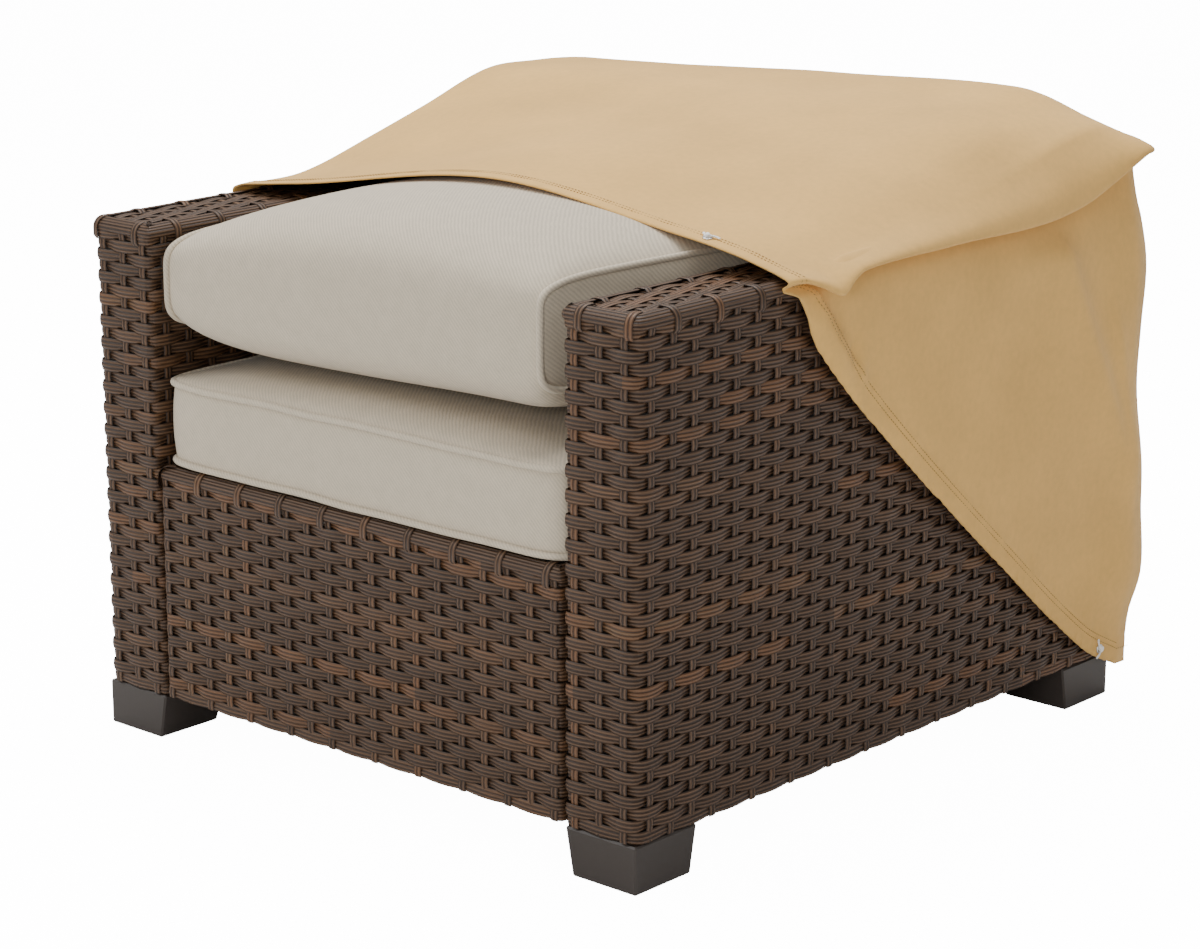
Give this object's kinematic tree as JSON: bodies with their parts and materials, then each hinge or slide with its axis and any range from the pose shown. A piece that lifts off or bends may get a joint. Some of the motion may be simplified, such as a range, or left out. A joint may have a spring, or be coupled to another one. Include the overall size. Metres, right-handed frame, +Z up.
{
  "type": "outdoor chair cover on a wicker armchair",
  "caption": "Fitted cloth cover drawn half back over a woven armchair with stacked cushions, hem running slantwise down the side.",
  "frame": {"origin": "on the floor, under the middle of the bounding box", "axes": "+Z up, -Y towards the chair's front, +X towards the arm on the right as seen from the front"},
  "size_m": [0.8903, 0.8993, 0.7261],
  "materials": {
    "cover_cloth": "smooth coated cloth, slight sheen",
    "eyelet_metal": "plated metal",
    "tie_cord": "white cord",
    "wicker": "woven resin strands, dark brown",
    "foot": "dark brown, satin",
    "cushion_cloth": "beige-grey twill"
  },
  "bodies": {
    "root": {"cover": "cover_cloth", "front_eyelet": "eyelet_metal", "side_eyelet": "eyelet_metal", "front_tie": "tie_cord", "side_tie": "tie_cord", "arm_left": "wicker", "arm_right": "wicker", "seat_base": "wicker", "backrest": "wicker", "foot_front_left": "foot", "foot_front_right": "foot", "foot_back_left": "foot", "foot_back_right": "foot", "seat_cushion": "cushion_cloth", "top_cushion": "cushion_cloth"}
  },
  "joints": []
}
